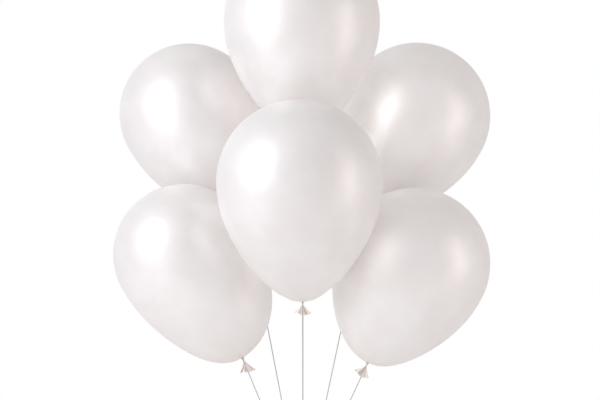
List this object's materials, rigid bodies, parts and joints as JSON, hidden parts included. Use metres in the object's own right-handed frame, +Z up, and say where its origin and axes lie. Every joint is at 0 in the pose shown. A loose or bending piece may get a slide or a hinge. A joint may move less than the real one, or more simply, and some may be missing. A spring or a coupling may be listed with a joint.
{
  "type": "latex balloon bouquet",
  "caption": "Helium-filled pearl white latex balloons, each tied at its neck with a thin ribbon, the ribbons gathered in one knot so that the balloons float in a bunch.",
  "frame": {"origin": "centre of the gather knot that holds all the ribbons, which is where the bunch is held", "axes": "+Z up, the way the balloons float; -Y is the front of the bunch, with the nearest balloon; +X is to its right"},
  "size_m": [0.7696, 0.7039, 1.0974],
  "materials": {
    "latex": "pearlescent satin, pearl white",
    "tail_latex": "unstretched latex, matte cream white",
    "ribbon": "light grey satin ribbon"
  },
  "bodies": {
    "gather": {"gather_knot": "ribbon", "gather_wrap": "ribbon", "front_cut_end": "ribbon", "top_cut_end": "ribbon", "upper_left_cut_end": "ribbon", "upper_right_cut_end": "ribbon", "lower_left_cut_end": "ribbon", "lower_right_cut_end": "ribbon"},
    "front_line": {"front_ribbon": "ribbon"},
    "front_binding": {"front_ribbon_tie": "ribbon"},
    "front_balloon": {"front_envelope": "latex", "front_neck_knot": "tail_latex", "front_tail": "tail_latex"},
    "top_line": {"top_ribbon": "ribbon"},
    "top_binding": {"top_ribbon_tie": "ribbon"},
    "top_balloon": {"top_envelope": "latex", "top_neck_knot": "tail_latex", "top_tail": "tail_latex"},
    "upper_left_line": {"upper_left_ribbon": "ribbon"},
    "upper_left_binding": {"upper_left_ribbon_tie": "ribbon"},
    "upper_left_balloon": {"upper_left_envelope": "latex", "upper_left_neck_knot": "tail_latex", "upper_left_tail": "tail_latex"},
    "upper_right_line": {"upper_right_ribbon": "ribbon"},
    "upper_right_binding": {"upper_right_ribbon_tie": "ribbon"},
    "upper_right_balloon": {"upper_right_envelope": "latex", "upper_right_neck_knot": "tail_latex", "upper_right_tail": "tail_latex"},
    "lower_left_line": {"lower_left_ribbon": "ribbon"},
    "lower_left_binding": {"lower_left_ribbon_tie": "ribbon"},
    "lower_left_balloon": {"lower_left_envelope": "latex", "lower_left_neck_knot": "tail_latex", "lower_left_tail": "tail_latex"},
    "lower_right_line": {"lower_right_ribbon": "ribbon"},
    "lower_right_binding": {"lower_right_ribbon_tie": "ribbon"},
    "lower_right_balloon": {"lower_right_envelope": "latex", "lower_right_neck_knot": "tail_latex", "lower_right_tail": "tail_latex"}
  },
  "joints": [
    {"name": "front_swing", "type": "hinge", "parent": "gather", "child": "front_line", "pos_m": [0, -0.007, 0.0085], "axis": [1, 0, 0], "range_deg": [0, 35], "stiffness_Nm_per_rad": 0.078, "springref_deg": -13.18},
    {"name": "front_tilt", "type": "hinge", "parent": "front_line", "child": "front_binding", "pos_m": [-0.00094, -0.09946, 0.38403], "axis": [1, 0, 0], "range_deg": [0, 25], "stiffness_Nm_per_rad": 0.026, "springref_deg": -12.03},
    {"name": "front_twist", "type": "hinge", "parent": "front_binding", "child": "front_balloon", "pos_m": [-0.001, -0.096, 0.3865], "axis": [-0.0256, -0.2079, 0.9778], "range_deg": [-45, 45], "stiffness_Nm_per_rad": 0.0005},
    {"name": "top_swing", "type": "hinge", "parent": "gather", "child": "top_line", "pos_m": [0, 0.007, 0.0085], "axis": [0.5, -0.866, 0], "range_deg": [0, 3.5], "stiffness_Nm_per_rad": 0.114, "springref_deg": -2.86},
    {"name": "top_tilt", "type": "hinge", "parent": "top_line", "child": "top_binding", "pos_m": [0.00001, 0.03399, 0.69758], "axis": [1, 0, 0], "range_deg": [0, 15], "stiffness_Nm_per_rad": 0.026, "springref_deg": -4.01},
    {"name": "top_twist", "type": "hinge", "parent": "top_binding", "child": "top_balloon", "pos_m": [0, 0.038, 0.699], "axis": [-0.0087, 0.0698, 0.9975], "range_deg": [-45, 45], "stiffness_Nm_per_rad": 0.0005},
    {"name": "upper_left_swing", "type": "hinge", "parent": "gather", "child": "upper_left_line", "pos_m": [-0.00606, 0.0035, 0.0085], "axis": [-1, 0, 0], "range_deg": [0, 30], "stiffness_Nm_per_rad": 0.104, "springref_deg": -18.91},
    {"name": "upper_left_tilt", "type": "hinge", "parent": "upper_left_line", "child": "upper_left_binding", "pos_m": [-0.11964, 0.2038, 0.55739], "axis": [-1, 0, 0], "range_deg": [0, 10], "stiffness_Nm_per_rad": 0.026, "springref_deg": -13.75},
    {"name": "upper_left_twist", "type": "hinge", "parent": "upper_left_binding", "child": "upper_left_balloon", "pos_m": [-0.12, 0.208, 0.558], "axis": [-0.4997, 0.2419, 0.8317], "range_deg": [-45, 45], "stiffness_Nm_per_rad": 0.0005},
    {"name": "upper_right_swing", "type": "hinge", "parent": "gather", "child": "upper_right_line", "pos_m": [0.00606, 0.0035, 0.0085], "axis": [-1, 0, 0], "range_deg": [0, 30], "stiffness_Nm_per_rad": 0.1, "springref_deg": -16.04},
    {"name": "upper_right_tilt", "type": "hinge", "parent": "upper_right_line", "child": "upper_right_binding", "pos_m": [0.12916, 0.1658, 0.54938], "axis": [-1, 0, 0], "range_deg": [0, 10], "stiffness_Nm_per_rad": 0.026, "springref_deg": -13.75},
    {"name": "upper_right_twist", "type": "hinge", "parent": "upper_right_binding", "child": "upper_right_balloon", "pos_m": [0.1295, 0.17, 0.55], "axis": [0.463, 0.2419, 0.8527], "range_deg": [-45, 45], "stiffness_Nm_per_rad": 0.0005},
    {"name": "lower_left_swing", "type": "hinge", "parent": "gather", "child": "lower_left_line", "pos_m": [-0.00606, -0.0035, 0.0085], "axis": [-0.342, -0.9397, 0], "range_deg": [0, 35], "stiffness_Nm_per_rad": 0.066, "springref_deg": -22.92},
    {"name": "lower_left_tilt", "type": "hinge", "parent": "lower_left_line", "child": "lower_left_binding", "pos_m": [-0.11743, 0.0479, 0.26351], "axis": [-0.342, -0.9397, 0], "range_deg": [0, 20], "stiffness_Nm_per_rad": 0.026, "springref_deg": -30.94},
    {"name": "lower_left_twist", "type": "hinge", "parent": "lower_left_binding", "child": "lower_left_balloon", "pos_m": [-0.118, 0.052, 0.2645], "axis": [-0.4981, 0.1392, 0.8559], "range_deg": [-45, 45], "stiffness_Nm_per_rad": 0.0005},
    {"name": "lower_right_swing", "type": "hinge", "parent": "gather", "child": "lower_right_line", "pos_m": [0.00606, -0.0035, 0.0085], "axis": [-0.0872, 0.9962, 0], "range_deg": [0, 35], "stiffness_Nm_per_rad": 0.066, "springref_deg": -22.92},
    {"name": "lower_right_tilt", "type": "hinge", "parent": "lower_right_line", "child": "lower_right_binding", "pos_m": [0.12375, 0.01313, 0.2579], "axis": [-0.0872, 0.9962, 0], "range_deg": [0, 25], "stiffness_Nm_per_rad": 0.026, "springref_deg": -25.78},
    {"name": "lower_right_twist", "type": "hinge", "parent": "lower_right_binding", "child": "lower_right_balloon", "pos_m": [0.1245, 0.017, 0.2595], "axis": [0.4241, -0.0175, 0.9054], "range_deg": [-45, 45], "stiffness_Nm_per_rad": 0.0005}
  ]
}
